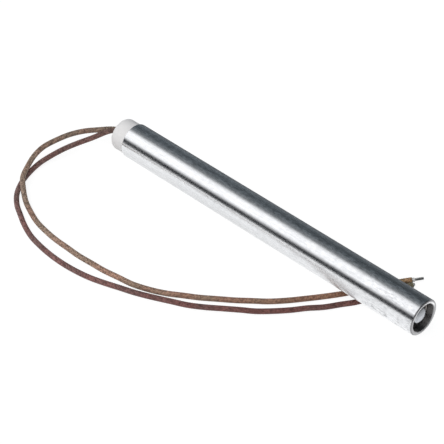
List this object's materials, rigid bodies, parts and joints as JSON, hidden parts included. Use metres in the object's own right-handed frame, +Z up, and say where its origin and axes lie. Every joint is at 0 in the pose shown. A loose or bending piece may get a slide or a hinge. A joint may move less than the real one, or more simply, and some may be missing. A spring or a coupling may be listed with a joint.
{
  "type": "cartridge heater",
  "caption": "Round metal-sheathed cartridge heater with a ceramic cap, glass-braid leads and a recessed tip, for heating dies, moulds and platens from a drilled bore.",
  "frame": {"origin": "on the resting surface, under the middle of the heater's body without its leads", "axes": "+X along the heater towards its tip, +Z up; the sheath's own axis rises by 1.5 degrees towards the tip, because the leads lie under it"},
  "size_m": [0.15, 0.0764, 0.0158],
  "materials": {
    "sheath_metal": "polished",
    "disc_metal": "satin",
    "cap_ceramic": "matte",
    "spacer_ceramic": "matte",
    "magnesia": "matte",
    "cement": "matte",
    "resistance_wire": "satin",
    "nickel": "satin",
    "tan_braid": "matte",
    "red_braid": "matte",
    "white_glass": "matte"
  },
  "bodies": {
    "root": {"sheath": "sheath_metal", "end_disc": "disc_metal", "tip_spacer": "spacer_ceramic", "core_1": "magnesia", "core_2": "magnesia", "core_3": "magnesia", "core_4": "magnesia", "winding": "resistance_wire", "pin_long": "nickel", "pin_short": "nickel", "mgo_fill": "magnesia", "top_spacer": "spacer_ceramic", "crimp_1": "nickel", "crimp_2": "nickel", "end_cement": "cement", "ceramic_cap": "cap_ceramic", "lead_1": "tan_braid", "lead_2": "red_braid", "lead_1_liner": "white_glass", "lead_2_liner": "white_glass", "lead_1_conductor": "nickel", "lead_2_conductor": "nickel"}
  },
  "joints": []
}
